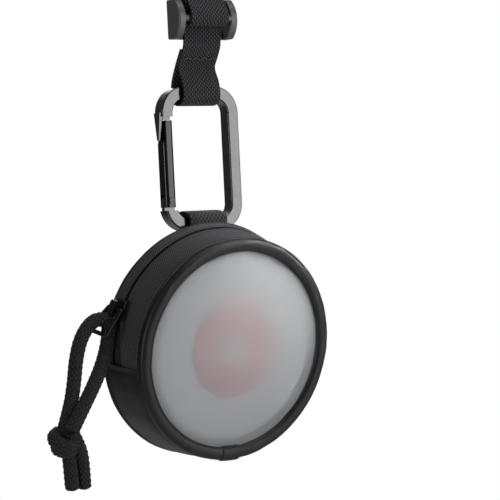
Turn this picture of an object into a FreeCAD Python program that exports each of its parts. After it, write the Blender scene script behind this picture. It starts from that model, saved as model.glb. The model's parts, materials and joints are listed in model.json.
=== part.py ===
"""Call pager in a round zipped pouch, hanging from a carabiner on a short webbing lanyard.

Millimetres. +X is to the right, +Y to the back and +Z up. The origin is the underside of the strap's crown,
where a hook or a peg carries the lanyard. The pouch and the pager are drawn in the pouch's own frame, with its
round axis along Y and its centre at 0, and then leant forward by case_lean and moved to case_centre.
Angles round the pouch are in degrees from +X, counted anticlockwise as seen from the front.
"""
import FreeCAD, Part
import math
import os

from FreeCAD import Vector

# lanyard
strap_width = 14.0
strap_thick = 1.2
ply_gap = 0.05
slider_z = -186.0
slider_y = -4.5
top_bar_drop = 22.7

# route of the neck strap's centre line in the Y-Z plane, from the slider up the front and down the back
neck_route = [
    (-7.4, -178.96), (-7.7, -152.0), (-11.9, -110.0), (-18.4, -68.5), (-24.2, -30.0), (-15.2, 0.6),
    (14.6, 0.6), (23.4, -31.0), (15.2, -70.0), (5.6, -111.0), (-3.2, -152.5), (-4.5, -178.96),
]

# strap slider
slider_width = 22.0
slider_height = 12.4
slider_rail = 2.7
slider_front = -4.5
slider_back = 2.9
bar_radius = 1.1
middle_bar_y = -3.4

# carabiner
carabiner_width = 28.8
carabiner_pitch = 41.5
carabiner_y = 0.6
bar_wide = 4.0
bar_deep = 4.6
corner_radius = 8.5
edge_radius = 0.45
loop_clearance = 0.3
gate_x = -12.35
gate_half = 1.95
gate_deep = 4.4
gate_top_drop = 8.6
rivet_drop = 33.6
gate_open_gap = 1.2
tang_radius = 1.9
tang_half = 0.8
rivet_radius = 0.7

# pouch
case_lean = 11.0
case_drop = 37.8
case_forward = 7.0
front_radius = 35.0
window_opening = 31.0
window_radius = 32.5
half_depth = 9.8
front_seam_y = -6.5
rear_seam_y = 8.5
seam_radius = 34.2
rear_radius = 36.9
rim_radius = 37.3
tape_thick = 0.9
leather_thick = 1.2
zip_y = 4.5
zip_half_gap = 0.5
coil_wide = 1.3
coil_tall = 1.2
tape_from = -28.0
tape_to = 188.0

# zip slider and its bail
slider_angle = 161.0
bail_radius = 0.7
bail_narrow = 3.4
bail_wide = 5.0
bail_pivot_r = 38.95
bail_eye = (-42.5, 5.7)

# pull cord, drawn in the pouch's frame
cord_radius = 2.1
pull_route = [
    (-55.8, -1.0, -21.7), (-53.6, -0.2, -15.4), (-52.0, 1.1, -8.6), (-51.0, 2.4, -1.6), (-48.8, 3.7, 5.0),
    (-44.2, 4.6, 9.9), (-38.9, 4.5, 9.4), (-39.2, 3.4, 3.5), (-42.2, 1.2, -3.4), (-46.6, -1.1, -9.8),
    (-51.4, -3.3, -15.8), (-55.9, -5.4, -21.7),
]
knot_centre = (-57.0, -3.1, -26.0)
knot_radius = 4.5
knot_length = 10.8
tail_ends = [((-55.6, -3.9, -28.6), (-54.6, -5.4, -40.0)), ((-52.0, -4.9, -28.6), (-50.4, -5.3, -40.0))]

# pager
pager_radius = 30.0
pager_front = -7.4
pager_back = 7.2
pager_wall = 1.6
pager_edge = 2.4
button_radius = 15.0
button_front = -7.75
button_flange = 16.6
post_circle = 25.1

top_bar_z = slider_z - top_bar_drop
bend_z = slider_z - 8.2
join_z = slider_z - 14.95
ply_lean = math.atan2(-slider_y, bend_z - join_z)
stitch_along = 3.9
bottom_bar_z = top_bar_z - carabiner_pitch
case_centre = Vector(0, carabiner_y - case_forward, bottom_bar_z - case_drop)
gate_top_z = top_bar_z - gate_top_drop
rivet_z = top_bar_z - rivet_drop


def box(x0, x1, y0, y1, z0, z1):
    return Part.makeBox(x1 - x0, y1 - y0, z1 - z0, Vector(x0, y0, z0))


def rod(radius, start, end):
    start, end = Vector(*start), Vector(*end)
    return Part.makeCylinder(radius, (end - start).Length, start, end - start)


def disc(radius, y0, y1, x=0.0, z=0.0):
    return Part.makeCylinder(radius, y1 - y0, Vector(x, y0, z), Vector(0, 1, 0))


def ring(outer, inner, y0, y1, x=0.0, z=0.0):
    return disc(outer, y0, y1, x, z).cut(disc(inner, y0 - 1, y1 + 1, x, z))


def fused(shapes):
    return shapes[0].multiFuse(shapes[1:]).removeSplitter()


def fillet_where(shape, radius, wanted):
    """Round the edges whose bounding boxes satisfy the test."""
    return shape.makeFillet(radius, [e for e in shape.Edges if wanted(e.BoundBox)])


def at_y(*levels):
    """A test for edges that lie flat at one of these depths."""
    return lambda b: any(abs(b.YMin - y) < 0.01 and abs(b.YMax - y) < 0.01 for y in levels)


def around(shape, angle):
    """Turn a shape drawn at angle 0 to its place round the pouch."""
    turned = shape.copy()
    turned.rotate(Vector(0, 0, 0), Vector(0, 1, 0), -angle)
    return turned


def sector(profile, start, end):
    """Turn a closed outline of (radius, y) points about the pouch's axis from one angle to another."""
    corners = [Vector(r, y, 0) for r, y in profile]
    face = Part.Face(Part.makePolygon(corners + corners[:1]))
    return around(face.revolve(Vector(0, 0, 0), Vector(0, 1, 0), end - start), end)


def in_case(shape):
    """Move a shape from the pouch's own frame to the row frame."""
    moved = shape.copy()
    moved.rotate(Vector(0, 0, 0), Vector(1, 0, 0), case_lean)
    moved.translate(case_centre)
    return moved


def rounded(points, radii=None):
    """Tangent arcs for a route's corners: start, middle, end, centre and radius of each."""
    arcs = []
    for i in range(1, len(points) - 1):
        before, after = points[i] - points[i - 1], points[i + 1] - points[i]
        half = before.getAngle(after) / 2
        radius = radii[i - 1] if radii else 0.45 * min(before.Length, after.Length) / math.tan(half)
        reach = radius * math.tan(half)
        before.normalize()
        after.normalize()
        inward = after - before
        inward.normalize()
        centre = points[i] + inward * (radius / math.cos(half))
        arcs.append((points[i] - before * reach, centre - inward * radius, points[i] + after * reach, centre, radius))
    return arcs


def route_wire(points, radii=None):
    arcs = rounded(points, radii)
    edges, at = [], points[0]
    for start, middle, end, _, _ in arcs:
        edges += [Part.LineSegment(at, start).toShape(), Part.Arc(start, middle, end).toShape()]
        at = end
    edges.append(Part.LineSegment(at, points[-1]).toShape())
    return Part.Wire(edges), [a[4] for a in arcs]


def tube(points, radius):
    """A round cord along a route of straight runs and tangent arcs."""
    path, radii = route_wire([Vector(*p) for p in points])
    start = path.Edges[0].tangentAt(path.Edges[0].FirstParameter)
    section = Part.Wire(Part.makeCircle(radius, Vector(*points[0]), start))
    solid = path.makePipeShell([section], True, False)
    expected = math.pi * radius ** 2 * path.Length
    print(f"tube {path.Length:.1f} mm, least radius {min(radii):.1f} mm, volume ratio {solid.Volume / expected:.4f}")
    return solid


def strap(route, radii=None, width=strap_width, thick=strap_thick):
    """A flat strap whose centre line lies in the Y-Z plane, as wide as width along X."""
    points = [Vector(0, y, z) for y, z in route]
    arcs = rounded(points, radii)
    across = Vector(1, 0, 0)

    def side(offset):
        edges, at, before = [], points[0], points[1] - points[0]
        shift = across.cross(before).normalize() * offset
        here = at + shift
        for i, (start, middle, end, centre, radius) in enumerate(arcs):
            after = points[i + 2] - points[i + 1]
            bend = 1 if across.dot((points[i + 1] - points[i]).cross(after)) > 0 else -1
            scale = (radius - bend * offset) / radius
            begin = centre + (start - centre) * scale
            stop = centre + (end - centre) * scale
            edges.append(Part.LineSegment(here, begin).toShape())
            edges.append(Part.Arc(begin, centre + (middle - centre) * scale, stop).toShape())
            here = stop
        last = (points[-1] - points[-2]).normalize()
        finish = points[-1] + across.cross(last) * offset
        edges.append(Part.LineSegment(here, finish).toShape())
        return edges, at + shift, finish

    left, left_start, left_end = side(thick / 2)
    right, right_start, right_end = side(-thick / 2)
    caps = [Part.LineSegment(left_start, right_start).toShape(), Part.LineSegment(left_end, right_end).toShape()]
    face = Part.Face(Part.Wire(Part.__sortEdges__(left + right + caps)))
    face.translate(Vector(-width / 2, 0, 0))
    return face.extrude(Vector(width, 0, 0))


def case_wall(thick, y0, y1, start, end, sink=0.0):
    """A stretch of the flared wall between two depths and two angles, sink below the outer surface."""
    def outer(y):
        flare = (rear_radius - seam_radius) / (rear_seam_y - front_seam_y)
        return seam_radius + (y - front_seam_y) * flare - sink
    return sector([(outer(y0) - thick, y0), (outer(y0), y0), (outer(y1), y1), (outer(y1) - thick, y1)], start, end)


# ---------------------------------------------------------------- lanyard

def neck_strap():
    _, radii = route_wire([Vector(0, y, z) for y, z in neck_route])
    print(f"neck strap's least radius {min(radii):.1f} mm")
    return strap(neck_route)


def on_ply(along, behind):
    """A point (y, z) on the leaning stretch, along it from its foot and behind its centre line."""
    cos, sin = math.cos(ply_lean), math.sin(ply_lean)
    return -along * sin + behind * cos, join_z + along * cos + behind * sin


def loop_webbing():
    """The ply that runs through the slider, leans back and folds round the carabiner's top bar."""
    reach = bar_deep / 2 + loop_clearance + strap_thick / 2 + loop_clearance
    low = top_bar_z - reach
    shoulder = top_bar_z + 2.8
    back_ply = strap_thick + ply_gap
    route = [
        (slider_y, slider_z + 7.0), (slider_y, bend_z), (0, join_z), (carabiner_y - reach, shoulder),
        (carabiner_y - reach, low), (carabiner_y + reach, low), (carabiner_y + reach, shoulder),
        on_ply(0.4, back_ply), on_ply(5.9, back_ply),
    ]
    return strap(route, [5.0, 5.0, 3.5, reach - 0.02, reach - 0.02, 5.0, 5.0])


def loop_stitching():
    """The bar tack through both plies, proud on the front and on the back."""
    tack, proud = 6.1, 0.35
    bars = []
    for face in (-strap_thick / 2 - proud, strap_thick * 1.5 + ply_gap):
        bar = box(-tack, tack, face, face + proud, -0.8, 0.8)
        bar.rotate(Vector(0, 0, 0), Vector(1, 0, 0), math.degrees(ply_lean))
        bar.translate(Vector(0, *on_ply(stitch_along, 0)))
        bars.append(bar)
    return Part.makeCompound(bars)


# ---------------------------------------------------------------- strap slider

def strap_slider():
    """A three-bar slide: two deep rails, two bars behind the webbing and one in front of it."""
    half, top = slider_width / 2, slider_height / 2
    side = Part.Wire([
        Part.LineSegment(Vector(0, slider_back, -top), Vector(0, slider_back, top)).toShape(),
        Part.LineSegment(Vector(0, slider_back, top), Vector(0, slider_front + 3.0, top)).toShape(),
        Part.Arc(Vector(0, slider_front + 3.0, top), Vector(0, slider_front, 0),
                 Vector(0, slider_front + 3.0, -top)).toShape(),
        Part.LineSegment(Vector(0, slider_front + 3.0, -top), Vector(0, slider_back, -top)).toShape(),
    ])
    rail = Part.Face(side).extrude(Vector(slider_rail, 0, 0))
    rail = rail.makeFillet(0.55, rail.Edges)
    left, right = rail.copy(), rail.copy()
    left.translate(Vector(-half, 0, 0))
    right.translate(Vector(half - slider_rail, 0, 0))
    inside = half - slider_rail / 2
    end_z = top - bar_radius
    bars = [rod(bar_radius, (-inside, middle_bar_y, 0), (inside, middle_bar_y, 0))]
    for z in (-end_z, end_z):
        bar = box(-inside, inside, slider_back - 2.1, slider_back - 0.1, z - bar_radius, z + bar_radius)
        bars.append(fillet_where(bar, 0.5, lambda b: b.XLength > inside))
    body = fused([left, right] + bars)
    body.translate(Vector(0, slider_y, slider_z))
    return body


def strap_end_fold():
    """The sewn end of the neck strap, folded round the slider's middle bar."""
    turn = bar_radius + 0.1 + strap_thick / 2
    front, back = slider_y + middle_bar_y - turn, slider_y + middle_bar_y + turn
    low = slider_z - turn
    route = [
        (neck_route[0][0], slider_z + 7.0), (neck_route[0][0], slider_z + 5.4), (front, slider_z + 1.6),
        (front, low), (back, low), (back, slider_z + 16.0),
    ]
    return strap(route, [1.4, 1.4, turn - 0.02, turn - 0.02])


def end_tack():
    """The bar tack that holds the folded end, seen between the two strands."""
    back = slider_y + middle_bar_y + bar_radius + 0.1 + strap_thick
    return box(-6.1, 6.1, back, back + 0.3, slider_z + 10.2, slider_z + 11.8)


# ---------------------------------------------------------------- carabiner

def carabiner_frame():
    half = carabiner_width / 2
    top, low = top_bar_z + bar_wide / 2, bottom_bar_z - bar_wide / 2
    y0, y1 = carabiner_y - bar_deep / 2, carabiner_y + bar_deep / 2
    upright = lambda b: b.YLength > bar_deep - 0.1 and b.XLength < 0.01 and b.ZLength < 0.01
    outer = fillet_where(box(-half, half, y0, y1, low, top), corner_radius, upright)
    inner = box(-half + bar_wide, half - bar_wide, y0, y1, low + bar_wide, top - bar_wide)
    inner = fillet_where(inner, corner_radius - bar_wide, upright)
    loop = fillet_where(outer.cut(inner), edge_radius, at_y(y0, y1))
    gap_low = rivet_z - 3.2
    loop = loop.cut(box(-half - 1, -half + bar_wide + 2, y0 - 1, y1 + 1, gap_low, gate_top_z + gate_open_gap))
    tip, root = gate_top_z - 6.2, gate_top_z + 2.4
    tongue = Part.Face(Part.makePolygon([
        Vector(-half - 0.6, carabiner_y - 1.7, root), Vector(-half - 0.6, carabiner_y + 1.7, root),
        Vector(-half - 0.6, carabiner_y + 0.5, tip), Vector(-half - 0.6, carabiner_y - 0.5, tip),
        Vector(-half - 0.6, carabiner_y - 1.7, root),
    ])).extrude(Vector(1.05, 0, 0))
    tang = box(gate_x - tang_radius, gate_x + tang_radius, carabiner_y - tang_half, carabiner_y + tang_half,
               gap_low - 0.8, rivet_z)
    boss = disc(tang_radius, carabiner_y - tang_half, carabiner_y + tang_half, gate_x, rivet_z)
    bore = disc(rivet_radius, y0, y1, gate_x, rivet_z)
    neck = box(gate_x - 1.35, gate_x + 1.35, carabiner_y - 1.4, carabiner_y + 1.4, gate_top_z + 0.15,
               gate_top_z + gate_open_gap + 0.4)
    return fused([loop, tongue, tang, boss, neck]).cut(bore)


def gate_rivet():
    reach = gate_deep / 2 + 0.05
    shank = disc(rivet_radius, carabiner_y - reach - 0.1, carabiner_y + reach + 0.1, gate_x, rivet_z)
    heads = [disc(1.0, carabiner_y + s * (reach + 0.2) - 0.15, carabiner_y + s * (reach + 0.2) + 0.15, gate_x, rivet_z)
             for s in (-1, 1)]
    return fused([shank] + heads)


def gate():
    """A soft-edged gate, forked over the frame's tang, with a blind bore for its spring and plunger."""
    low = rivet_z - 2.2
    body = box(gate_x - gate_half, gate_x + gate_half, carabiner_y - gate_deep / 2, carabiner_y + gate_deep / 2,
               low, gate_top_z)
    body = fillet_where(body, 1.2, lambda b: b.ZLength > 10)
    heel = disc(2.75, carabiner_y - 4, carabiner_y + 4, gate_x, rivet_z)
    shank = box(gate_x - 4, gate_x + 4, carabiner_y - 4, carabiner_y + 4, rivet_z, gate_top_z + 1)
    body = body.common(heel.fuse(shank))
    notch = box(gate_x - 4, -carabiner_width / 2 + 0.8, carabiner_y - 4, carabiner_y + 4, gate_top_z - 7.0,
                gate_top_z + 1)
    slot = box(gate_x - 4, gate_x + 4, carabiner_y - 0.9, carabiner_y + 0.9, rivet_z - 4, rivet_z + 2.5)
    pin = disc(rivet_radius + 0.05, carabiner_y - 4, carabiner_y + 4, gate_x, rivet_z)
    bore = rod(1.1, (gate_x, carabiner_y, rivet_z + 2.4), (gate_x, carabiner_y, rivet_z + 15))
    return body.cut(notch).cut(slot).cut(pin).cut(bore).removeSplitter()


def gate_spring():
    coil = Part.makeHelix(0.95, 7.6, 0.75)
    wire = Part.Wire(Part.makeCircle(0.18, Vector(0.75, 0, 0), Vector(0, 1, 0)))
    spring = Part.Wire(coil).makePipeShell([wire], True, True)
    spring.translate(Vector(gate_x, carabiner_y, rivet_z + 6.2))
    return spring


def gate_plunger():
    tip = tang_radius + 0.05
    pin = rod(0.8, (gate_x, carabiner_y, rivet_z + tip), (gate_x, carabiner_y, rivet_z + 5.8))
    return fillet_where(pin, 0.2, lambda b: abs(b.ZMax - rivet_z - 5.8) < 0.01 and b.ZLength < 0.01)


# ---------------------------------------------------------------- pouch

def rear_panel():
    return disc(35.4, rear_seam_y + 0.2, half_depth - 0.3)


def rear_binding():
    edge = ring(rim_radius, 35.5, rear_seam_y + 0.05, half_depth)
    return fillet_where(edge, 0.55, at_y(rear_seam_y + 0.05, half_depth))


def rear_stiffener():
    return disc(33.0, 7.9, rear_seam_y + 0.15)


def rear_lining():
    return disc(33.0, 7.5, 7.85)


def bottom_gusset():
    return case_wall(leather_thick, front_seam_y, rear_seam_y, tape_to - 360 + 0.3, tape_from - 0.3)


def rear_zip_tape():
    return case_wall(tape_thick, zip_y + zip_half_gap, rear_seam_y, tape_from, tape_to)


def front_zip_tape():
    return case_wall(tape_thick, front_seam_y, zip_y - zip_half_gap, tape_from, tape_to)


def rear_zip_coil():
    y0 = zip_y + zip_half_gap
    return case_wall(coil_tall, y0, y0 + coil_wide, tape_from, tape_to, sink=tape_thick + 0.03)


def front_zip_coil():
    y1 = zip_y - zip_half_gap
    return case_wall(coil_tall, y1 - coil_wide, y1, tape_from, tape_to, sink=tape_thick + 0.03)


def zip_stops():
    stop = box(34.5, 36.4, zip_y - 0.4, zip_y + 0.45, -0.55, 0.55)
    return Part.makeCompound([around(stop, slider_angle + 8.6), around(stop, tape_from + 1.0)])


def front_binding():
    """The rolled edge round the window, with a groove that grips the film."""
    roll = ring(front_radius, window_opening, -half_depth, front_seam_y - 0.05)
    roll = fillet_where(roll, 1.45, at_y(-half_depth))
    return roll.cut(disc(window_radius + 0.05, -8.65, -8.05))


def window_film():
    return disc(window_radius, -8.6, -8.1)


def hang_tab():
    """A webbing loop sewn to the back panel, round the carabiner's bottom bar."""
    lean = math.radians(case_lean)
    bar_y = case_forward * math.cos(lean) + case_drop * math.sin(lean)
    bar_z = case_drop * math.cos(lean) - case_forward * math.sin(lean)
    turn = bar_deep / 2 + 2 * loop_clearance + strap_thick / 2
    front = bar_y - turn
    route = [
        (front, 20.0), (front, bar_z + turn), (bar_y + turn, bar_z + turn), (bar_y + turn, bar_z - 3.0),
        (front + strap_thick + ply_gap, bar_z - 9.5), (front + strap_thick + ply_gap, 20.0),
    ]
    return strap(route, [turn - 0.02, turn - 0.02, 5.0, 5.0])


def tab_stitches():
    lean = math.radians(case_lean)
    front = case_forward * math.cos(lean) + case_drop * math.sin(lean) - (bar_deep / 2 + 2 * loop_clearance)
    face = front + strap_thick + ply_gap
    return Part.makeCompound([box(-6.0, 6.0, face, face + 0.3, z - 0.5, z + 0.5) for z in (21.4, 23.6)])


# ---------------------------------------------------------------- zip slider and pull

def zip_slider():
    """Two plates joined by a post between the tapes, with a crown for the bail."""
    outer = box(36.95, 37.95, zip_y - 3.2, zip_y + 3.2, -3.6, 2.9)
    outer = outer.makeFillet(0.45, [e for e in outer.Edges if e.BoundBox.XMin > 37.9])
    inner = box(32.2, 33.15, zip_y - 2.9, zip_y + 2.9, -3.2, 3.2)
    post = box(33.1, 37.0, zip_y - 0.35, zip_y + 0.35, 1.2, 2.8)
    crown = box(37.9, 40.4, zip_y - 1.5, zip_y + 1.5, -2.6, 2.6)
    crown = crown.makeFillet(0.9, [e for e in crown.Edges if e.BoundBox.XMin > 40.3 and e.BoundBox.YLength > 1])
    hole = disc(bail_radius + 0.15, zip_y - 3, zip_y + 3, bail_pivot_r)
    return around(fused([outer, inner, post, crown]).cut(hole), slider_angle)


def pull_bail():
    """A closed loop of wire through the slider's crown, wider where it holds the cord."""
    angle = math.radians(slider_angle)
    pivot = (bail_pivot_r * math.cos(angle), bail_pivot_r * math.sin(angle))
    corners = [(pivot[0], zip_y - bail_narrow, pivot[1]), (pivot[0], zip_y + bail_narrow, pivot[1]),
               (bail_eye[0], zip_y + bail_wide, bail_eye[1]), (bail_eye[0], zip_y - bail_wide, bail_eye[1])]
    sides = [rod(bail_radius, corners[i], corners[(i + 1) % 4]) for i in range(4)]
    return fused(sides + [Part.makeSphere(bail_radius, Vector(*c)) for c in corners])


def knot_shape():
    """The outer shape of the overhand knot, a soft-edged barrel lying across the cord."""
    x, y, z = knot_centre
    barrel = rod(knot_radius, (x - knot_length / 2, y, z), (x + knot_length / 2, y, z))
    return fillet_where(barrel, 2.2, lambda b: b.XLength < 0.01)


def pull_cord():
    return tube(pull_route, cord_radius).cut(knot_shape())


def pull_knot():
    return knot_shape()


def pull_tails():
    left, right = [rod(cord_radius, start, end) for start, end in tail_ends]
    knot = knot_shape()
    return Part.makeCompound([left.cut(knot), right.cut(left).cut(knot)])


# ---------------------------------------------------------------- pager

def shell_posts(outer, hole, y0, y1):
    """Screw posts on a circle, each with its hole."""
    posts = []
    for angle in (30, 150, 270):
        x = post_circle * math.cos(math.radians(angle))
        z = post_circle * math.sin(math.radians(angle))
        posts.append((disc(outer, y0, y1, x, z), disc(hole, y0 - 0.5, y1 + 3, x, z)))
    return posts


def pager_front_shell():
    shell = disc(pager_radius, pager_front, -0.1)
    shell = fillet_where(shell, pager_edge, at_y(pager_front))
    shell = shell.cut(disc(pager_radius - pager_wall, pager_front + pager_wall, 0))
    posts = shell_posts(2.1, 0.82, pager_front + pager_wall, 0.25)
    shell = fused([shell] + [p for p, _ in posts])
    for _, hole in posts:
        shell = shell.cut(Part.makeCylinder(0.82, 3.6, Vector(hole.BoundBox.Center.x, -3.2, hole.BoundBox.Center.z),
                                            Vector(0, 1, 0)))
    return shell.cut(disc(button_radius + 0.4, pager_front - 1, -4))


def pager_rear_shell():
    shell = disc(pager_radius, 0, pager_back)
    shell = fillet_where(shell, pager_edge, at_y(pager_back))
    shell = shell.cut(disc(pager_radius - pager_wall, -1, pager_back - 1.5))
    posts = shell_posts(2.1, 0.95, 0.35, pager_back - 1.4)
    shell = fused([shell] + [p for p, _ in posts])
    for _, hole in posts:
        shell = shell.cut(hole)
        shell = shell.cut(disc(1.8, pager_back - 1.2, pager_back + 1, hole.BoundBox.Center.x, hole.BoundBox.Center.z))
    return shell.cut(disc(11.2, pager_back - 2, pager_back + 1))


def shell_screws():
    screws = []
    for angle in (30, 150, 270):
        x = post_circle * math.cos(math.radians(angle))
        z = post_circle * math.sin(math.radians(angle))
        head = disc(1.6, pager_back - 1.15, pager_back - 0.2, x, z)
        drive = fused([box(x - 0.9, x + 0.9, pager_back - 0.7, pager_back, z - 0.17, z + 0.17),
                       box(x - 0.17, x + 0.17, pager_back - 0.7, pager_back, z - 0.9, z + 0.9)])
        screws.append(fused([head, disc(0.8, -3.0, pager_back - 1.1, x, z)]).cut(drive))
    return Part.makeCompound(screws)


def battery_cover():
    lid = disc(11.05, pager_back - 1.45, pager_back - 0.05)
    return lid.cut(box(-6, 6, pager_back - 0.7, pager_back + 1, -0.8, 0.8))


def seal_ring():
    return ring(28.35, 27.6, -1.2, 0.9)


def circuit_board():
    return disc(22.8, 0.4, 1.4)


def board_chips():
    places = [(11, -9, 2.5, 2.5), (-12, -8, 3.5, 2.0), (-10, 11, 2.0, 3.0), (13, 9, 1.2, 2.2), (2, -16, 4.0, 1.2)]
    return Part.makeCompound([box(x - w, x + w, -0.8, 0.4, z - h, z + h) for x, z, w, h in places])


def tact_switch():
    return box(-3, 3, -2.0, 0.4, -3, 3)


def status_led():
    return disc(1.2, -1.6, 0.4, 0, 14)


def wire_antenna():
    """A sprung wire on two feet, round the board's edge."""
    radius, y, sweep = 21.3, -0.9, 140
    section = Part.Face(Part.Wire(Part.makeCircle(0.4, Vector(radius, y, 0), Vector(0, 0, 1))))
    parts = [around(section.revolve(Vector(0, 0, 0), Vector(0, 1, 0), sweep), sweep)]
    for angle in (0, sweep):
        x, z = radius * math.cos(math.radians(angle)), radius * math.sin(math.radians(angle))
        parts += [Part.makeSphere(0.4, Vector(x, y, z)), disc(0.4, y, 0.4, x, z)]
    return fused(parts)


def battery_holder():
    return ring(11.6, 10.15, 1.4, 4.6)


def battery_contact():
    return box(-7, 7, 1.4, 1.9, -2, 2)


def coin_cell():
    cell = disc(10.0, 1.95, 5.15)
    return fillet_where(cell, 0.4, at_y(1.95, 5.15))


def call_button():
    cap = disc(button_radius, button_front, -5.65)
    cap = fillet_where(cap, 0.6, at_y(button_front))
    return fused([cap, disc(button_flange, -5.7, -4.9), disc(2.0, -5.0, -3.4)])


def switch_plunger():
    return disc(1.7, -3.4, -2.55)


def button_symbol():
    """A plain hand-bell sign, raised on the button."""
    y0, y1 = button_front - 0.15, button_front
    bell = Part.Wire([
        Part.LineSegment(Vector(-5.2, y0, -2.4), Vector(5.2, y0, -2.4)).toShape(),
        Part.Arc(Vector(5.2, y0, -2.4), Vector(3.68, y0, 1.28), Vector(0, y0, 2.8)).toShape(),
        Part.Arc(Vector(0, y0, 2.8), Vector(-3.68, y0, 1.28), Vector(-5.2, y0, -2.4)).toShape(),
    ])
    dome = Part.Face(bell).extrude(Vector(0, y1 - y0, 0))
    base = box(-6.4, 6.4, y0, y1, -4.4, -3.2)
    knob = disc(1.05, y0, y1, 0, 4.3)
    return Part.makeCompound([dome, base, knob])


in_row_frame = {
    "neck_strap": neck_strap,
    "loop_webbing": loop_webbing,
    "loop_stitching": loop_stitching,
    "strap_slider": strap_slider,
    "strap_end_fold": strap_end_fold,
    "end_tack": end_tack,
    "carabiner_frame": carabiner_frame,
    "gate_rivet": gate_rivet,
    "gate": gate,
    "gate_spring": gate_spring,
    "gate_plunger": gate_plunger,
}
in_case_frame = {
    "rear_panel": rear_panel,
    "rear_binding": rear_binding,
    "rear_stiffener": rear_stiffener,
    "rear_lining": rear_lining,
    "bottom_gusset": bottom_gusset,
    "rear_zip_tape": rear_zip_tape,
    "rear_zip_coil": rear_zip_coil,
    "zip_stops": zip_stops,
    "hang_tab": hang_tab,
    "tab_stitches": tab_stitches,
    "front_binding": front_binding,
    "window_film": window_film,
    "front_zip_tape": front_zip_tape,
    "front_zip_coil": front_zip_coil,
    "zip_slider": zip_slider,
    "pull_bail": pull_bail,
    "pull_cord": pull_cord,
    "pull_knot": pull_knot,
    "pull_tails": pull_tails,
    "pager_front_shell": pager_front_shell,
    "pager_rear_shell": pager_rear_shell,
    "seal_ring": seal_ring,
    "circuit_board": circuit_board,
    "board_chips": board_chips,
    "tact_switch": tact_switch,
    "status_led": status_led,
    "wire_antenna": wire_antenna,
    "battery_holder": battery_holder,
    "battery_contact": battery_contact,
    "coin_cell": coin_cell,
    "battery_cover": battery_cover,
    "shell_screws": shell_screws,
    "call_button": call_button,
    "button_symbol": button_symbol,
    "switch_plunger": switch_plunger,
}

os.makedirs("parts", exist_ok=True)
for name, make in in_row_frame.items():
    make().exportStep(f"parts/{name}.step")
for name, make in in_case_frame.items():
    in_case(make()).exportStep(f"parts/{name}.step")
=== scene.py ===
"""A call pager in a round zipped pouch, on a carabiner and a short webbing lanyard.

Laid out as an add-on. Lengths are in metres. +X is to the right, +Y to the back and +Z up.
"""
import json
import math

import bmesh
import bpy
import numpy as np
from bpy.props import FloatProperty, FloatVectorProperty, IntProperty, PointerProperty
from mathutils import Matrix, Vector, noise


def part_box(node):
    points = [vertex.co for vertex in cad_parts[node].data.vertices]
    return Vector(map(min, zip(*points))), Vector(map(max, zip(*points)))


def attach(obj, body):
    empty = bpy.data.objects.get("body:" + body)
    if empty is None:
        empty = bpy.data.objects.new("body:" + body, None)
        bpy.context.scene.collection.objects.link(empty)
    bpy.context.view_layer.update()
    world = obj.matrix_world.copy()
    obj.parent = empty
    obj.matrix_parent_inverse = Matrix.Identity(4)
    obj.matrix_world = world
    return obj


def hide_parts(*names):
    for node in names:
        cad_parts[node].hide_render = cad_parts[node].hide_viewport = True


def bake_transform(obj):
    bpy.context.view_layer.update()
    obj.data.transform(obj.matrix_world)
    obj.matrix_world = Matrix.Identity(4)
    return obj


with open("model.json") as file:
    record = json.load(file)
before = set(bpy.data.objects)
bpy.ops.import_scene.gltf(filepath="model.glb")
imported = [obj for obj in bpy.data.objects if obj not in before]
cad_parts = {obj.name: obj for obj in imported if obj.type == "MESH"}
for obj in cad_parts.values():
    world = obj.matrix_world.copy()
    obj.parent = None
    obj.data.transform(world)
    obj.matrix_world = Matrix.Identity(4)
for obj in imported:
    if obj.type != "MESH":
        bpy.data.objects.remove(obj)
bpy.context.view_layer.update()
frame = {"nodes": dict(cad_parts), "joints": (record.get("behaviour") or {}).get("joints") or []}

bl_info = {
    "name": "Call pager pouch",
    "version": (1, 0, 0),
    "blender": (4, 5, 0),
    "location": "View3D > Sidebar > Call Pager",
    "description": "Builds the pouch, lanyard and pager pieces round the packed frame",
    "category": "Object",
}

mm = 0.001
joints = {joint["name"]: joint for joint in frame["joints"]}

# the pouch's own frame: its round axis along Y, its centre at 0
pouch_axis = Vector(joints["zip_travel"]["axis"])
pouch_centre = Vector(joints["zip_travel"]["pos_m"]) - 4.5 * mm * pouch_axis
pouch_lean = math.atan2(pouch_axis.z, pouch_axis.y)
pouch_frame = Matrix.Translation(pouch_centre) @ Matrix.Rotation(pouch_lean, 4, "X")

strap_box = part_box("neck_strap")
webbing_width = strap_box[1].x - strap_box[0].x

# angles round the pouch where the zip tape starts and ends, in degrees from +X
tape_from, tape_to = -28.0, 188.0
# millimetres in the pouch's frame: two places along its axis, then radii, and thicknesses
zip_y = 4.5
seam_y = -6.5
front_roll_radius, front_roll_half = 33.05, 2.15
rear_roll_radius = 36.35
weave_radius = 35.5
tape_thick, leather_thick = 0.85, 1.25


class CordSizes(bpy.types.PropertyGroup):
    """Sizes of the pull cord."""
    diameter: FloatProperty(
        name="Cord diameter", description="Diameter of the pull cord", default=4.2 * mm, unit="LENGTH",
        min=2 * mm, max=6 * mm)
    strands: IntProperty(
        name="Strands", description="Braid bumps counted once round the cord", default=20, min=8, max=32)
    relief: FloatProperty(
        name="Braid relief", description="Height of the braid's bumps", default=0.36 * mm, unit="LENGTH",
        min=0, max=0.6 * mm)


class WebbingSizes(bpy.types.PropertyGroup):
    """Sizes of the flat webbing."""
    thickness: FloatProperty(
        name="Thickness", description="Thickness of the webbing", default=1.2 * mm, unit="LENGTH",
        min=0.6 * mm, max=2 * mm)
    ribs: IntProperty(
        name="Ribs", description="Lengthwise ribs across the webbing", default=20, min=8, max=40)
    rib_depth: FloatProperty(
        name="Rib depth", description="Depth of the grooves between ribs", default=0.09 * mm, unit="LENGTH",
        min=0, max=0.3 * mm)


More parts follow.
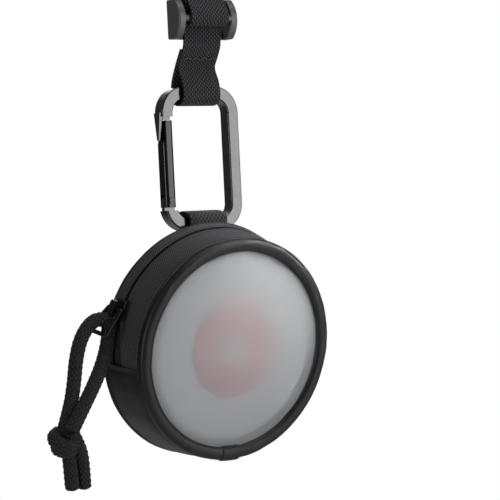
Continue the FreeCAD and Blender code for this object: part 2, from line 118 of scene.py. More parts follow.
class PouchSizes(bpy.types.PropertyGroup):
    """Sizes of the pouch's leather and zip."""
    roll_height: FloatProperty(
        name="Rolled edge", description="Depth of the roll round the window", default=3.3 * mm, unit="LENGTH",
        min=2 * mm, max=5 * mm)
    gusset_bulge: FloatProperty(
        name="Gusset bulge", description="How far the lower leather band swells out", default=0.7 * mm,
        unit="LENGTH", min=0, max=2 * mm)
    crease_depth: FloatProperty(
        name="Creases", description="Depth of the leather's soft creases", default=0.5 * mm, unit="LENGTH",
        min=0, max=1 * mm)
    tooth_pitch: FloatProperty(
        name="Tooth pitch", description="Spacing of the zip's teeth", default=1.25 * mm, unit="LENGTH",
        min=0.8 * mm, max=3 * mm)
    window_dome: FloatProperty(
        name="Window dome", description="How far the window swells out", default=0.6 * mm, unit="LENGTH",
        min=0, max=2 * mm)


class PagerColours(bpy.types.PropertyGroup):
    """Colours of the pieces."""
    webbing: FloatVectorProperty(
        name="Webbing", description="Colour of the webbing and cord", subtype="COLOR",
        default=(0.022, 0.022, 0.024), min=0, max=1)
    leather: FloatVectorProperty(
        name="Leather", description="Colour of the coated leather", subtype="COLOR",
        default=(0.011, 0.011, 0.012), min=0, max=1)
    plating: FloatVectorProperty(
        name="Plating", description="Colour of the carabiner's plating", subtype="COLOR",
        default=(0.22, 0.22, 0.225), min=0, max=1)
    shell: FloatVectorProperty(
        name="Shell", description="Colour of the pager's shell", subtype="COLOR",
        default=(0.82, 0.83, 0.84), min=0, max=1)
    button: FloatVectorProperty(
        name="Button", description="Colour of the call button", subtype="COLOR",
        default=(0.74, 0.24, 0.26), min=0, max=1)


# ------------------------------------------------------------------ small tools

def put_down():
    """Leave nothing selected."""
    if bpy.context.object and bpy.context.object.mode != "OBJECT":
        bpy.ops.object.mode_set(mode="OBJECT")
    bpy.ops.object.select_all(action="DESELECT")


def take(piece):
    put_down()
    piece.select_set(True)
    bpy.context.view_layer.objects.active = piece


def link_piece(name, mesh):
    piece = bpy.data.objects.new(name, mesh)
    bpy.context.scene.collection.objects.link(piece)
    take(piece)
    return piece


def mend(piece, smooth=40):
    """Merge doubled points, turn the faces outwards and shade them."""
    take(piece)
    bpy.ops.object.mode_set(mode="EDIT")
    bpy.ops.mesh.select_all(action="SELECT")
    bpy.ops.mesh.remove_doubles(threshold=1e-6)
    bpy.ops.mesh.normals_make_consistent(inside=False)
    bpy.ops.object.mode_set(mode="OBJECT")
    bpy.ops.object.shade_smooth_by_angle(angle=math.radians(smooth))
    return piece


def settle(piece, body, slot, material, *stands_for):
    """Give a finished piece its material and its body."""
    piece.data.materials.clear()
    piece.data.materials.append(material)
    if stands_for:
        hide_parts(*stands_for)
    if body:
        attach(piece, body)
    return piece


def apply_all(piece):
    take(piece)
    for modifier in list(piece.modifiers):
        bpy.ops.object.modifier_apply(modifier=modifier.name)


def joined(name, pieces):
    put_down()
    for piece in pieces:
        piece.select_set(True)
    bpy.context.view_layer.objects.active = pieces[0]
    bpy.ops.object.join()
    pieces[0].name = name
    return pieces[0]


def copied(piece, places):
    """Copies of a piece, each with its own mesh, put at the places. The first piece is used up."""
    copies = []
    for place in places:
        copy = piece.copy()
        copy.data = piece.data.copy()
        copy.data.transform(place)
        bpy.context.scene.collection.objects.link(copy)
        copies.append(copy)
    bpy.data.objects.remove(piece)
    return copies


def route_line(points, step):
    """Evenly spaced points of the smooth line that has these control points."""
    curve = bpy.data.curves.new("route", "CURVE")
    curve.dimensions = "3D"
    spline = curve.splines.new("NURBS")
    spline.points.add(len(points) - 1)
    for control, point in zip(spline.points, points):
        control.co = (*point, 1)
    spline.order_u = 3
    spline.use_endpoint_u = True
    spline.resolution_u = 24
    holder = bpy.data.objects.new("route", curve)
    bpy.context.scene.collection.objects.link(holder)
    mesh = bpy.data.meshes.new_from_object(holder)
    line = np.array([vertex.co[:] for vertex in mesh.vertices])
    bpy.data.objects.remove(holder)
    bpy.data.curves.remove(curve)
    bpy.data.meshes.remove(mesh)
    along = np.concatenate([[0], np.cumsum(np.linalg.norm(np.diff(line, axis=0), axis=1))])
    count = max(int(round(along[-1] / step)), 2)
    even = np.linspace(0, along[-1], count + 1)
    return np.stack([np.interp(even, along, line[:, axis]) for axis in range(3)], axis=1)


def unit(vectors):
    return vectors / np.linalg.norm(vectors, axis=-1, keepdims=True)


def swept(name, line, rings, across, flat=None, relief=None):
    """A closed skin along a line, with one ring of (side, up) offsets at each of its points.

    across holds each ring point's distance over the cloth, for the weave. flat is a strap's side direction.
    relief is each point's height, which the cord's material reads to paint shade in the low points.
    """
    tangent = unit(np.gradient(line, axis=0))
    if flat is not None:
        side = np.tile(np.array(flat, float), (len(line), 1))
    else:
        start = np.cross(tangent[0], (0.0, 1.0, 0.0))
        side = [unit(start)]
        for direction in tangent[1:]:
            side.append(unit(side[-1] - direction * np.dot(side[-1], direction)))
        side = np.array(side)
    up = np.cross(tangent, side)
    rings = np.asarray(rings)
    skin = line[:, None, :] + rings[..., :1] * side[:, None, :] + rings[..., 1:] * up[:, None, :]
    length, around = skin.shape[:2]
    points = skin.reshape(-1, 3)
    along = np.concatenate([[0], np.cumsum(np.linalg.norm(np.diff(line, axis=0), axis=1))])
    row, column = np.meshgrid(np.arange(length - 1), np.arange(around), indexing="ij")
    after = (column + 1) % around
    quads = np.stack([row * around + column, row * around + after, (row + 1) * around + after,
                      (row + 1) * around + column], axis=-1).reshape(-1, 4)
    first, last = len(points), len(points) + 1
    points = np.vstack([points, skin[0].mean(axis=0), skin[-1].mean(axis=0)])
    low = [(first, (j + 1) % around, j) for j in range(around)]
    base = (length - 1) * around
    high = [(last, base + j, base + (j + 1) % around) for j in range(around)]
    mesh = bpy.data.meshes.new(name)
    mesh.from_pydata(points.tolist(), [], quads.tolist() + low + high)
    layer = mesh.uv_layers.new(name="cloth")
    u = np.stack([across[column], across[column + 1], across[column + 1], across[column]], axis=-1)
    v = np.stack([along[row], along[row], along[row + 1], along[row + 1]], axis=-1)
    cloth = np.stack([u, v], axis=-1).reshape(-1, 2)
    tips = np.array([(across[j], end_distance) for end_distance in (0, along[-1])
                     for j in range(around) for _ in range(3)])
    layer.data.foreach_set("uv", np.vstack([cloth, tips]).ravel())
    if relief is not None:
        heights = mesh.attributes.new("relief", "FLOAT", "POINT")
        heights.data.foreach_set("value", np.append(relief.ravel(), [0.5, 0.5]))
    piece = link_piece(name, mesh)
    return mend(piece, 60)


def strap(name, points, step):
    """A flat woven strap along a route of (y, z) points in millimetres, with its ribs modelled."""
    sizes = bpy.context.scene.pager_webbing
    width = webbing_width
    line = route_line([(0, y * mm, z * mm) for y, z in points], step)
    x = np.linspace(-width / 2, width / 2, 3 * sizes.ribs + 1)
    pitch = width / sizes.ribs
    rib = np.abs(np.sin(math.pi * (x + width / 2) / pitch))
    edge = np.clip((np.abs(x) - (width / 2 - 0.5 * mm)) / (0.5 * mm), 0, 0.97)
    half = (sizes.thickness / 2 - sizes.rib_depth * (1 - rib)) * np.sqrt(1 - edge ** 2)
    section = np.concatenate([np.stack([x, -half], axis=1), np.stack([x[::-1], half[::-1]], axis=1)])
    across = np.concatenate([x, x[::-1], x[:1]])
    return swept(name, line, np.tile(section, (len(line), 1, 1)), across, flat=(1, 0, 0))


def braided(name, points, taper=(0.0, 0.0)):
    """A round braided cord along a route, and its centre line. Its ends draw in over the tapers' lengths."""
    sizes = bpy.context.scene.pager_cord
    radius, count = sizes.diameter / 2, sizes.strands
    line = route_line(points, 0.17 * mm)
    along = np.linspace(0, 1, len(line)) * np.linalg.norm(np.diff(line, axis=0), axis=1).sum()
    around = np.arange(5 * count) / (5 * count)
    theta, s = np.meshgrid(around, along)
    cell = 2 * math.pi * radius / count * 1.35
    left = theta * count / 2 + s / cell / 2
    right = theta * count / 2 - s / cell / 2
    bump = np.sqrt(np.abs(np.sin(math.pi * left) * np.sin(math.pi * right)))
    over = (np.floor(left) + np.floor(right)) % 2
    bump = bump * (0.82 + 0.18 * over)
    r = radius + 0.5 * sizes.relief - sizes.relief * (1 - bump)
    for distance, reach in ((s, taper[0]), (along[-1] - s, taper[1])):
        if reach:
            inside = np.clip(1 - distance / reach, 0, 0.98)
            r = r * np.sqrt(1 - inside ** 2 * 0.8)
    angle = theta * 2 * math.pi
    rings = np.stack([r * np.cos(angle), r * np.sin(angle)], axis=-1)
    across = np.arange(5 * count + 1) / (5 * count) * 2 * math.pi * radius
    return swept(name, line, rings, across, relief=bump), line


def spun(name, outline, start=0.0, sweep=360.0, steps=180):
    """Turn a closed outline of (radius, y) points, in millimetres, round the pouch's axis."""
    put_down()
    whole = sweep >= 360
    fill = "NOTHING" if whole else "NGON"
    bpy.ops.mesh.primitive_circle_add(vertices=len(outline), radius=mm, fill_type=fill)
    piece = bpy.context.object
    piece.name = name
    turn = Matrix.Rotation(-math.radians(start), 4, "Y")
    for vertex, (radius, y) in zip(piece.data.vertices, outline):
        vertex.co = turn @ Vector((radius * mm, y * mm, 0))
    bpy.ops.object.mode_set(mode="EDIT")
    bpy.ops.mesh.select_all(action="SELECT")
    bpy.ops.mesh.spin(steps=steps, angle=math.radians(sweep), center=(0, 0, 0), axis=(0, 1, 0))
    bpy.ops.object.mode_set(mode="OBJECT")
    return piece


def polar_map(piece):
    """Lay the weave along the pouch's curve: u is the depth and v the distance round."""
    mesh = piece.data
    while mesh.uv_layers:
        mesh.uv_layers.remove(mesh.uv_layers[0])
    layer = mesh.uv_layers.new(name="cloth")
    for polygon in mesh.polygons:
        centre = math.atan2(polygon.center.z, polygon.center.x)
        for index in polygon.loop_indices:
            point = mesh.vertices[mesh.loops[index].vertex_index].co
            angle = math.atan2(point.z, point.x)
            angle += round((centre - angle) / (2 * math.pi)) * 2 * math.pi
            turn = angle + 2 * math.pi if centre < math.radians(-90) else angle
            layer.data[index].uv = (point.y, turn * weave_radius * mm)


def at_pouch(piece):
    piece.data.transform(pouch_frame)
    return piece


def crease(piece, depth, size, seed=0.0, stretch=(1, 1, 1)):
    """Soft uneven swelling of leather, moved along the normals."""
    mesh = piece.data
    normals = [vertex.normal.copy() for vertex in mesh.vertices]
    for vertex, normal in zip(mesh.vertices, normals):
        place = Vector([c * k for c, k in zip(vertex.co, stretch)]) / size + Vector((seed, 0, seed))
        swell = noise.noise(place) + 0.4 * noise.noise(place * 2.3)
        vertex.co += normal * (depth * swell * 0.5)


# ------------------------------------------------------------------ materials

def paint(name):
    """A new material: the material, its node tree and its main shader."""
    made = bpy.data.materials.get(name)
    if made:
        return made, None, None
    made = bpy.data.materials.new(name)
    made.use_nodes = True
    return made, made.node_tree, made.node_tree.nodes["Principled BSDF"]


def calc(tree, operation, *values):
    node = tree.nodes.new("ShaderNodeMath")
    node.operation = operation
    for socket, value in zip(node.inputs, values):
        if isinstance(value, bpy.types.NodeSocket):
            tree.links.new(value, socket)
        else:
            socket.default_value = value
    return node.outputs[0]


def coordinates(tree, kind="Object"):
    return tree.nodes.new("ShaderNodeTexCoord").outputs[kind]


def noise_of(tree, scale, detail=3.0, roughness=0.5, kind="Object"):
    node = tree.nodes.new("ShaderNodeTexNoise")
    tree.links.new(coordinates(tree, kind), node.inputs["Vector"])
    node.inputs["Scale"].default_value = scale
    node.inputs["Detail"].default_value = detail
    node.inputs["Roughness"].default_value = roughness
    return node.outputs["Fac"]


def spread(tree, value, low, high):
    """Map 0..1 to low..high."""
    node = tree.nodes.new("ShaderNodeMapRange")
    tree.links.new(value, node.inputs["Value"])
    node.inputs["To Min"].default_value = low
    node.inputs["To Max"].default_value = high
    return node.outputs["Result"]


def shade_by(tree, shader, colour, value, dark, light):
    """Base colour between dark and light times the colour."""
    node = tree.nodes.new("ShaderNodeMix")
    node.data_type = "RGBA"
    node.inputs[6].default_value = (*[c * dark for c in colour], 1)
    node.inputs[7].default_value = (*[min(c * light, 1) for c in colour], 1)
    tree.links.new(value, node.inputs[0])
    tree.links.new(node.outputs[2], shader.inputs["Base Color"])


def bump_by(tree, shader, height, distance, strength=1.0):
    node = tree.nodes.new("ShaderNodeBump")
    node.inputs["Strength"].default_value = strength
    node.inputs["Distance"].default_value = distance
    tree.links.new(height, node.inputs["Height"])
    tree.links.new(node.outputs["Normal"], shader.inputs["Normal"])


def floats_of(tree, across, along):
    """Columns of short raised floats, each column shifted by half a float."""
    parts = tree.nodes.new("ShaderNodeSeparateXYZ")
    tree.links.new(coordinates(tree, "UV"), parts.inputs[0])
    column = calc(tree, "DIVIDE", parts.outputs["X"], across)
    shift = calc(tree, "MULTIPLY", calc(tree, "FLOORED_MODULO", calc(tree, "FLOOR", column), 2.0), 0.5)
    cell = calc(tree, "ADD", calc(tree, "DIVIDE", parts.outputs["Y"], along), shift)
    rib = calc(tree, "ABSOLUTE", calc(tree, "SINE", calc(tree, "MULTIPLY", column, math.pi)))
    dash = calc(tree, "ABSOLUTE", calc(tree, "SINE", calc(tree, "MULTIPLY", cell, math.pi)))
    return calc(tree, "SQRT", calc(tree, "MULTIPLY", rib, dash))


def woven_paint(name, across, along, depth, dark, light, contrast, fuzz, fibre_scale, roughness,
                sheen_roughness):
    """Woven cloth in the webbing's colour, painted darker in the grooves between floats as painted shade and
    lighter on the floats as painted highlight.
    """
    made, tree, shader = paint(name)
    if not tree:
        return made
    lump = floats_of(tree, across, along)
    fibre = noise_of(tree, fibre_scale, 2)
    height = calc(tree, "ADD", lump, calc(tree, "MULTIPLY", fibre, fuzz))
    colour = tuple(bpy.context.scene.pager_colours.webbing)
    # painted shade and highlight: the colour runs from dark in the grooves to light on the raised floats
    shade_by(tree, shader, colour, calc(tree, "POWER", lump, contrast), dark, light)
    tree.links.new(spread(tree, fibre, *roughness), shader.inputs["Roughness"])
    shader.inputs["Sheen Weight"].default_value = 0.2
    shader.inputs["Sheen Roughness"].default_value = sheen_roughness
    bump_by(tree, shader, height, depth)
    return made


# dark and light in these two set the painted shade in the grooves and the painted highlight on the floats
def webbing_paint():
    return woven_paint("flat_webbing", 0.7 * mm, 1.3 * mm, 0.16 * mm, dark=0.1, light=8.0, contrast=2.6,
                       fuzz=0.08, fibre_scale=5200, roughness=(0.62, 0.85), sheen_roughness=0.4)


def twill_paint():
    return woven_paint("zip_tape_twill", 0.62 * mm, 0.72 * mm, 0.1 * mm, dark=0.12, light=7.5, contrast=2.4,
                       fuzz=0.1, fibre_scale=4200, roughness=(0.6, 0.85), sheen_roughness=0.5)


def braid_paint():
    """The pull cord's yarns: fine threads over the modelled strands, coloured darker in the braid's valleys
    and lighter on its crowns as painted shade.
    """
    colours = bpy.context.scene.pager_colours
    made, tree, shader = paint("braided_cord")
    if not tree:
        return made
    parts = tree.nodes.new("ShaderNodeSeparateXYZ")
    tree.links.new(coordinates(tree, "UV"), parts.inputs[0])
    yarn_turns = 2 * math.pi / (0.26 * mm)
    across, along = parts.outputs["X"], parts.outputs["Y"]
    threads, crossing = (
        calc(tree, "SINE", calc(tree, "MULTIPLY", calc(tree, way, across, along), yarn_turns))
        for way in ("ADD", "SUBTRACT"))
    fibre = noise_of(tree, 4000, 2)
    height = calc(tree, "ADD", calc(tree, "MULTIPLY", calc(tree, "ADD", threads, crossing), 0.2), fibre)
    relief = tree.nodes.new("ShaderNodeAttribute")
    relief.attribute_name = "relief"
    wear = calc(tree, "ADD", 0.6, calc(tree, "MULTIPLY", fibre, 0.7))
    valley_shade_and_wear = calc(tree, "MULTIPLY", relief.outputs["Fac"], wear)
    # painted shade: the colour darkens in the braid's valleys and lightens on its crowns, by the relief
    # height times a random wear
    shade_by(tree, shader, tuple(colours.webbing), valley_shade_and_wear, 0.12, 1.8)
    shader.inputs["Roughness"].default_value = 0.62
    shader.inputs["Sheen Weight"].default_value = 0.3
    shader.inputs["Sheen Roughness"].default_value = 0.35
    bump_by(tree, shader, height, 0.05 * mm)
    return made


def leather_paint():
    """Coated leather: a fine pebbled grain under a soft gloss."""
    colours = bpy.context.scene.pager_colours
    made, tree, shader = paint("coated_leather")
    if not tree:
        return made
    grain = tree.nodes.new("ShaderNodeTexVoronoi")
    grain.feature = "DISTANCE_TO_EDGE"
    tree.links.new(coordinates(tree), grain.inputs["Vector"])
    grain.inputs["Scale"].default_value = 1300
    pebbles = calc(tree, "MINIMUM", calc(tree, "MULTIPLY", grain.outputs["Distance"], 4.0), 1.0)
    cloudy = noise_of(tree, 180, 4)
    height = calc(tree, "ADD", pebbles, calc(tree, "MULTIPLY", cloudy, 1.5))
    shade_by(tree, shader, tuple(colours.leather), cloudy, 0.7, 1.5)
    tree.links.new(spread(tree, cloudy, 0.34, 0.52), shader.inputs["Roughness"])
    shader.inputs["Coat Weight"].default_value = 0.25
    shader.inputs["Coat Roughness"].default_value = 0.3
    bump_by(tree, shader, height, 0.035 * mm, 0.8)
    return made


def thread_paint():
    made, tree, shader = paint("sewing_thread")
    if not tree:
        return made
    twist = noise_of(tree, 3500, 3)
    shade_by(tree, shader, (0.11, 0.11, 0.113), twist, 0.6, 1.6)
    shader.inputs["Roughness"].default_value = 0.5
    bump_by(tree, shader, twist, 0.05 * mm)
    return made


def moulded_paint(name, colour, low, high, grain=0.012, coat=0.0):
    """Moulded plastic with a very fine texture."""
    made, tree, shader = paint(name)
    if not tree:
        return made
    speckle = noise_of(tree, 2600, 3)
    cloudy = noise_of(tree, 60, 2)
    shade_by(tree, shader, colour, cloudy, 0.93, 1.05)
    tree.links.new(spread(tree, speckle, low, high), shader.inputs["Roughness"])
    shader.inputs["Coat Weight"].default_value = coat
    shader.inputs["Coat Roughness"].default_value = 0.12
    bump_by(tree, shader, speckle, grain * mm)
    return made


def plated_paint(name, colour, low, high, metallic=1.0):
    """Bright plating with faint rubbing marks."""
    made, tree, shader = paint(name)
    if not tree:
        return made
    rubbed = noise_of(tree, 420, 5, 0.7)
    shade_by(tree, shader, colour, rubbed, 0.85, 1.12)
    tree.links.new(spread(tree, rubbed, low, high), shader.inputs["Roughness"])
    shader.inputs["Metallic"].default_value = metallic
    bump_by(tree, shader, rubbed, 0.006 * mm)
    return made


def film_paint():
    """The window: a glossy smoke-grey film that lets a little light through."""
    made, tree, shader = paint("clear_film")
    if not tree:
        return made
    haze = noise_of(tree, 25, 2)
    shade_by(tree, shader, (0.018, 0.018, 0.0185), haze, 0.97, 1.03)
    tree.links.new(spread(tree, haze, 0.24, 0.28), shader.inputs["Roughness"])
    shader.inputs["Alpha"].default_value = 0.89
    shader.inputs["IOR"].default_value = 1.5
    made.surface_render_method = "BLENDED"
    return made


# ------------------------------------------------------------------ the stage

def aim(thing, place, target):
    thing.location = place
    thing.rotation_euler = (Vector(target) - Vector(place)).to_track_quat("-Z", "Y").to_euler()


def soft_box(name, place, target, width, height, power):
    light = bpy.data.lights.new(name, "AREA")
    light.shape = "RECTANGLE"
    light.size, light.size_y = width, height
    light.energy = power
    lamp = bpy.data.objects.new(name, light)
    bpy.context.scene.collection.objects.link(lamp)
    aim(lamp, place, target)
    return lamp


class PAGER_OT_stage(bpy.types.Operator):
    """Camera, soft lights, pale floor and white surroundings"""
    bl_idname = "pager.stage"
    bl_label = "Stage"

    def execute(self, context):
        scene = context.scene
        azimuth, elevation, roll = math.radians(-35), math.radians(0.5), math.radians(-2.8)
        level = math.cos(elevation)
        back = Vector((math.sin(azimuth) * level, -math.cos(azimuth) * level, math.sin(elevation)))
        right = Vector((math.cos(azimuth), math.sin(azimuth), 0))
        up = back.cross(right)
        side = math.cos(roll) * right + math.sin(roll) * up
        top = math.cos(roll) * up - math.sin(roll) * right
        lens = bpy.data.cameras.new("camera")
        lens.lens, lens.sensor_width = 158.4, 36
        camera = bpy.data.objects.new("camera", lens)
        turn = Matrix((side, top, back)).transposed().to_4x4()
        place = pouch_centre + 690 * mm * back + 9.3 * mm * side + 29.5 * mm * top
        camera.matrix_world = Matrix.Translation(place) @ turn
        scene.collection.objects.link(camera)
        scene.camera = camera
        scene.view_settings.view_transform = "Standard"

        target = (0, 0, -0.27)
        soft_box("key_box", (0.62, -0.86, -0.16), target, 0.55, 0.8, 2.2)
        soft_box("top_box", (0.15, -0.35, 0.55), target, 0.7, 0.5, 1.6)
        soft_box("left_strip", (-0.85, -0.25, -0.25), target, 0.12, 0.7, 1.0)
        soft_box("back_box", (0.25, 0.8, -0.05), target, 0.6, 0.6, 2)
        soft_box("low_box", (0.45, -0.55, -0.62), target, 0.5, 0.3, 0.25)
        window_top = (0.030, -0.025, -0.258)
        glow = soft_box("window_box", (0.28, -0.31, -0.09), window_top, 0.04, 0.04, 0.0066)
        glow.data.spread = math.radians(9)

        world = bpy.data.worlds.new("surroundings")
        scene.world = world
        world.use_nodes = True
        tree = world.node_tree
        shade = tree.nodes["Background"]
        seen = tree.nodes.new("ShaderNodeLightPath").outputs["Is Camera Ray"]
        mix = tree.nodes.new("ShaderNodeMix")
        mix.inputs[2].default_value, mix.inputs[3].default_value = 0.07, 1.0
        tree.links.new(seen, mix.inputs[0])
        shade.inputs["Color"].default_value = (1, 1, 1, 1)
        tree.links.new(mix.outputs[0], shade.inputs["Strength"])

        put_down()
        bpy.ops.mesh.primitive_plane_add(size=2, location=(0, 0, -0.7))
        floor = bpy.context.object
        floor.name = "floor"
        pale, _, shader = paint("pale_floor")
        shader.inputs["Base Color"].default_value = (0.86, 0.86, 0.86, 1)
        shader.inputs["Roughness"].default_value = 0.8
        floor.data.materials.append(pale)
        return {"FINISHED"}


# ------------------------------------------------------------------ cords and webbing

def pouch_points(points):
    return [tuple(pouch_frame @ (Vector(p) * mm)) for p in points]


class PAGER_OT_pull(bpy.types.Operator):
    """The zip's pull: a braided cord doubled through the bail, tied in one knot with two tails"""
    bl_idname = "pager.pull"
    bl_label = "Pull cord"

    def execute(self, context):
        yarn = braid_paint()
        cord, line = braided("pull_braid", pouch_points([
            (-55.8, -1.0, -21.7), (-53.6, -0.2, -15.4), (-52.0, 1.1, -8.6), (-51.0, 2.4, -1.6),
            (-48.8, 3.7, 5.0), (-44.2, 4.6, 9.9), (-38.9, 4.5, 9.4), (-39.2, 3.4, 3.5), (-42.2, 1.2, -3.4),
            (-46.6, -1.1, -9.8), (-51.4, -3.3, -15.8), (-55.9, -5.4, -21.7)]))
        settle(cord, "pull", "cord", yarn, "pull_cord")

        # the knot's wraps: to the right, up, and towards the front
        right, up, towards = Vector((0.819, -0.574, 0)), Vector((0, 0, 1)), Vector((-0.574, -0.819, 0))
        centre = pouch_frame @ (Vector((-56.6, -3.1, -25.6)) * mm)
        wraps = [(2.0, 2.3, -1.6), (-1.0, 3.2, -2.3), (-3.4, 2.2, -0.4), (-2.7, 0.6, 2.4), (0.3, -0.9, 3.1),
                 (3.0, -0.2, 1.2), (2.4, 1.3, -1.8), (-1.0, 0.2, -2.8), (-2.8, -1.2, -0.4), (-1.2, -2.2, 2.1),
                 (1.6, -2.3, 1.9), (2.3, -1.6, -0.8)]
        turns = [tuple(centre + (right * a + up * b + towards * c) * mm) for a, b, c in wraps]
        knot, _ = braided("pull_knot_wraps", turns, (0.8 * mm, 0.8 * mm))
        settle(knot, "pull", "cord", yarn, "pull_knot")
        tails = []
        for side, points in (("left", [(-55.8, -1.0, -21.7), (-55.9, -2.6, -25.0), (-55.6, -3.9, -28.6),
                                       (-55.2, -4.8, -34.0), (-54.6, -5.4, -40.0)]),
                             ("right", [(-55.9, -5.4, -21.7), (-53.9, -5.2, -25.0), (-52.0, -4.9, -28.6),
                                        (-51.0, -5.0, -34.0), (-50.4, -5.3, -40.0)])):
            tails.append(braided(f"pull_tail_{side}", pouch_points(points), (0.0, 1.0 * mm))[0])
        settle(tails[0], "pull", "cord", yarn, "pull_tails")
        settle(tails[1], "pull", "cord", yarn)
        return {"FINISHED"}


class PAGER_OT_neck_strap(bpy.types.Operator):
    """The neck strap's loop of flat webbing"""
    bl_idname = "pager.neck_strap"
    bl_label = "Neck strap"

    def execute(self, context):
        route = [(-7.4, -178.96), (-7.7, -152.0), (-11.9, -110.0), (-18.4, -68.5), (-24.2, -30.0),
                 (-15.2, 0.6), (14.6, 0.6), (23.4, -31.0), (15.2, -70.0), (5.6, -111.0), (-3.2, -152.5),
                 (-4.5, -178.96)]
        piece = strap("strap_webbing", route, 1.2 * mm)
        settle(piece, None, "webbing", webbing_paint(), "neck_strap")
        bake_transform(piece)
        line = route_line([(0, y * mm, z * mm) for y, z in route], 1.2 * mm)
        return {"FINISHED"}


def stitch_piece(length):
    """One stitch: a short thread whose ends dip into the cloth. It lies along X with its top towards -Y."""
    radius = 0.3 * mm
    put_down()
    bpy.ops.mesh.primitive_cylinder_add(vertices=8, radius=radius, depth=length, rotation=(0, math.pi / 2, 0))
    stitch = bpy.context.object
    bpy.ops.object.transform_apply(rotation=True, location=True)
    bpy.ops.object.mode_set(mode="EDIT")
    for cut in (length / 4, -length / 4):
        bpy.ops.mesh.select_all(action="SELECT")
        bpy.ops.mesh.bisect(plane_co=(cut, 0, 0), plane_no=(1, 0, 0))
    bpy.ops.object.mode_set(mode="OBJECT")
    for vertex in stitch.data.vertices:
        ends = max(abs(vertex.co.x) - length / 4, 0) / (length / 4)
        vertex.co.y = vertex.co.y * (1 - 0.35 * ends) + radius * 0.9 * ends
    bpy.ops.object.shade_smooth()
    return stitch


def bar_tack(name, face_y, z, half_width, height, count, facing):
    """A zigzag of close stitches across the webbing. Facing is -1 for the front and 1 for the back."""
    pitch = 2 * half_width / count
    length = math.hypot(pitch, height) * 1.04
    slope = math.atan2(height, pitch)
    flip = Matrix.Rotation(math.pi if facing > 0 else 0, 4, "Z")
    places = []
    for index in range(count):
        x = -half_width + (index + 0.5) * pitch
        lean = slope if index % 2 else -slope
        places.append(Matrix.Translation((x, face_y, z)) @ Matrix.Rotation(lean, 4, "Y") @ flip)
    return joined(name, copied(stitch_piece(length), places))


class PAGER_OT_loop_webbing(bpy.types.Operator):
    """The webbing ply that runs through the slider and round the carabiner, with its bar tacks"""
    bl_idname = "pager.loop_webbing"
    bl_label = "Loop webbing"

    def execute(self, context):
        cloth, thread = webbing_paint(), thread_paint()
        route = [(-4.5, -178.9), (-4.5, -188.0), (-4.5, -193.4), (-3.7, -195.4), (-1.9, -198.1),
                 (0.0, -200.95), (-2.9, -205.9), (-2.9, -212.2), (4.1, -212.2), (4.1, -205.9),
                 (0.82, -199.9), (-0.4, -198.1), (-2.23, -195.35)]
        piece = strap("loop_ply", route, 0.5 * mm)
        settle(piece, None, "webbing", cloth, "loop_webbing")
        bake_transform(piece)
        front = bar_tack("loop_tack_front", -0.88 * mm, 0, 6.1 * mm, 0.9 * mm, 8, -1)
        back = bar_tack("loop_tack_back", 1.93 * mm, 0, 6.1 * mm, 1.9 * mm, 12, 1)
        tacks = joined("loop_tacks", [front, back])
        seam = Matrix.Translation((0, -2.16 * mm, -197.7 * mm))
        tacks.data.transform(seam @ Matrix.Rotation(math.radians(33.7), 4, "X"))
        settle(tacks, "lanyard", "thread", thread, "loop_stitching")

        fold = [(-7.4, -178.9), (-7.4, -180.6), (-9.7, -184.4), (-9.7, -187.8), (-6.1, -187.8),
                (-6.1, -185.4), (-6.1, -177.0), (-6.1, -170.0)]
        piece = strap("end_fold", fold, 0.4 * mm)
        settle(piece, "strap_slider", "webbing", cloth, "strap_end_fold")
        tack = bar_tack("end_tack_thread", -5.4 * mm, -175.0 * mm, 6.1 * mm, 1.6 * mm, 12, 1)
        settle(tack, "strap_slider", "thread", thread, "end_tack")
        return {"FINISHED"}


class PAGER_OT_hang_tab(bpy.types.Operator):
    """The webbing tab that hangs the pouch from the carabiner, with its two rows of stitches"""
    bl_idname = "pager.hang_tab"
    bl_label = "Hang tab"

    def execute(self, context):
        route = [(10.58, 20.0), (10.58, 31.0), (10.45, 36.0), (10.4, 39.5), (17.8, 39.5), (17.7, 36.0),
                 (18.1, 32.1), (11.83, 26.4), (11.83, 23.4), (11.83, 20.0)]
        piece = at_pouch(strap("tab_ply", route, 0.6 * mm))
        settle(piece, "pouch", "webbing", webbing_paint(), "hang_tab")
        rows = [bar_tack(f"tab_tack_{index}", 12.46 * mm, z * mm, 6.0 * mm, 1.2 * mm, 14, 1)
                for index, z in enumerate((21.4, 23.6))]
        settle(at_pouch(joined("tab_tacks", rows)), "pouch", "thread", thread_paint(), "tab_stitches")
        return {"FINISHED"}


# ------------------------------------------------------------------ the pouch

class PAGER_OT_gusset(bpy.types.Operator):
    """The lower band of leather between the front and the back"""
    bl_idname = "pager.gusset"
    bl_label = "Leather gusset"

    def execute(self, context):
        sizes = context.scene.pager_pouch
        start, end = tape_to - 360 - 0.6, tape_from + 0.6
        outer = []
        for step in range(13):
            share = step / 12
            y = seam_y - 0.05 + share * 15.1
            swell = sizes.gusset_bulge / mm * math.sin(math.pi * share) ** 0.8
            tuck = -0.6 * max(0, 1 - share * 7)
            outer.append((34.35 + share * 2.5 + swell + tuck, y))
        inner = [(r - (leather_thick if 0 < index < 12 else 0.9), y) for index, (r, y) in enumerate(outer)]
        piece = spun("gusset_leather", outer + inner[::-1], start, end - start, 150)
        mend(piece, 50)
        ends = [math.radians(start), math.radians(end)]
        crease(piece, sizes.crease_depth, 9 * mm, 4.0, (1, 0.45, 1))
        # the last 2 mm at each end tip outwards
        for vertex in piece.data.vertices:
            angle = math.atan2(vertex.co.z, vertex.co.x)
            turn = angle - 2 * math.pi if angle > math.radians(tape_from + 5) else angle
            near = min(abs(turn - ends[0]), abs(turn - ends[1])) * 36
            if near < 2:
                grow = 1 - 0.012 * (near / 2)
                vertex.co.x, vertex.co.z = vertex.co.x * grow * 1.006, vertex.co.z * grow * 1.006
        at_pouch(piece)
        settle(piece, None, "leather", leather_paint(), "bottom_gusset")
        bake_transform(piece)
        return {"FINISHED"}


